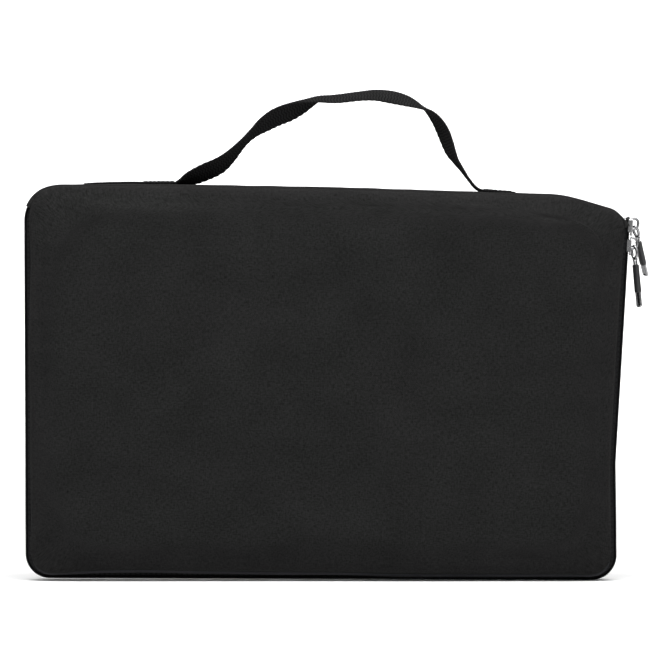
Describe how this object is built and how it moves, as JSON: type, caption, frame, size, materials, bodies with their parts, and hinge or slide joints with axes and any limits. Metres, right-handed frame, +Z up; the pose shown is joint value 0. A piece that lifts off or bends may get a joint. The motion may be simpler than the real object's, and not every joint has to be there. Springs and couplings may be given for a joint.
{
  "type": "soft zip portfolio case",
  "caption": "Soft padded carrying case whose two fabric panels fold at a top spine, with a zip round the other sides, twin sliders and a webbing handle.",
  "frame": {"origin": "middle of the bottom edge, on the surface that the case stands on, under the parting plane of its two halves", "axes": "+Z up from the zip at the bottom to the spine and handle; the front panel faces -Y; +X towards the side with the sliders"},
  "size_m": [0.4046, 0.046, 0.3192],
  "materials": {
    "shell_fabric": "woven black polyester, matt",
    "foam": "soft foam",
    "lining_fabric": "plain woven lining, matt",
    "binding_tape": "woven tape, matt",
    "zip_tape": "woven zip tape, matt",
    "zip_coil": "black nylon coil, slight gloss",
    "stop_metal": "black, satin",
    "webbing": "ribbed black webbing, matt",
    "thread": "black thread",
    "slider_metal": "nickel plated, polished",
    "pull_metal": "nickel plated, polished",
    "pull_rubber": "black rubber, matt"
  },
  "bodies": {
    "back_shell": {"back_cover": "shell_fabric", "back_foam": "foam", "back_lining": "lining_fabric", "back_binding": "binding_tape", "back_tape": "zip_tape", "back_coil": "zip_coil", "back_left_stop": "stop_metal", "back_top_stop": "stop_metal"},
    "spine": {"spine_cover": "shell_fabric", "spine_foam": "foam", "spine_lining": "lining_fabric", "handle_run_left": "webbing", "handle_run_right": "webbing", "stitch_left": "thread", "stitch_right": "thread"},
    "front_shell": {"front_cover": "shell_fabric", "front_foam": "foam", "front_lining": "lining_fabric", "front_binding": "binding_tape", "front_tape": "zip_tape", "front_coil": "zip_coil", "front_left_stop": "stop_metal", "front_top_stop": "stop_metal"},
    "handle": {"handle_webbing": "webbing"},
    "upper_slider": {"upper_slider": "slider_metal"},
    "lower_slider": {"lower_slider": "slider_metal"},
    "upper_pull": {"upper_pull_frame": "pull_metal", "upper_pull_sleeve": "pull_rubber"},
    "lower_pull": {"lower_pull_frame": "pull_metal", "lower_pull_sleeve": "pull_rubber"}
  },
  "joints": [
    {"name": "spine_fold", "type": "hinge", "parent": "back_shell", "child": "spine", "pos_m": [0, 0.01215, 0.2519], "axis": [-0.9999, 0, 0.017], "range_deg": [0, 90]},
    {"name": "front_open", "type": "hinge", "parent": "spine", "child": "front_shell", "pos_m": [0, -0.01215, 0.2519], "axis": [-0.9999, 0, 0.017], "range_deg": [0, 90]},
    {"name": "handle_swing", "type": "hinge", "parent": "spine", "child": "handle", "pos_m": [0, 0, 0.2534], "axis": [0.9999, 0, -0.017], "range_deg": [-35, 35], "stiffness_Nm_per_rad": 0.03},
    {"name": "upper_slider_run", "type": "slide", "parent": "back_shell", "child": "upper_slider", "axis": [-0.0599, 0, -0.9982], "range_m": [0, 0.06]},
    {"name": "lower_slider_run", "type": "slide", "parent": "upper_slider", "child": "lower_slider", "axis": [-0.0599, 0, -0.9982], "range_m": [0, 0.07]},
    {"name": "upper_pull_swing", "type": "hinge", "parent": "upper_slider", "child": "upper_pull", "pos_m": [0.20186, 0, 0.22751], "axis": [0, -1, 0], "range_deg": [-4, 68]},
    {"name": "lower_pull_swing", "type": "hinge", "parent": "lower_slider", "child": "lower_pull", "pos_m": [0.20111, 0, 0.21501], "axis": [0, -1, 0], "range_deg": [-4, 80]}
  ]
}
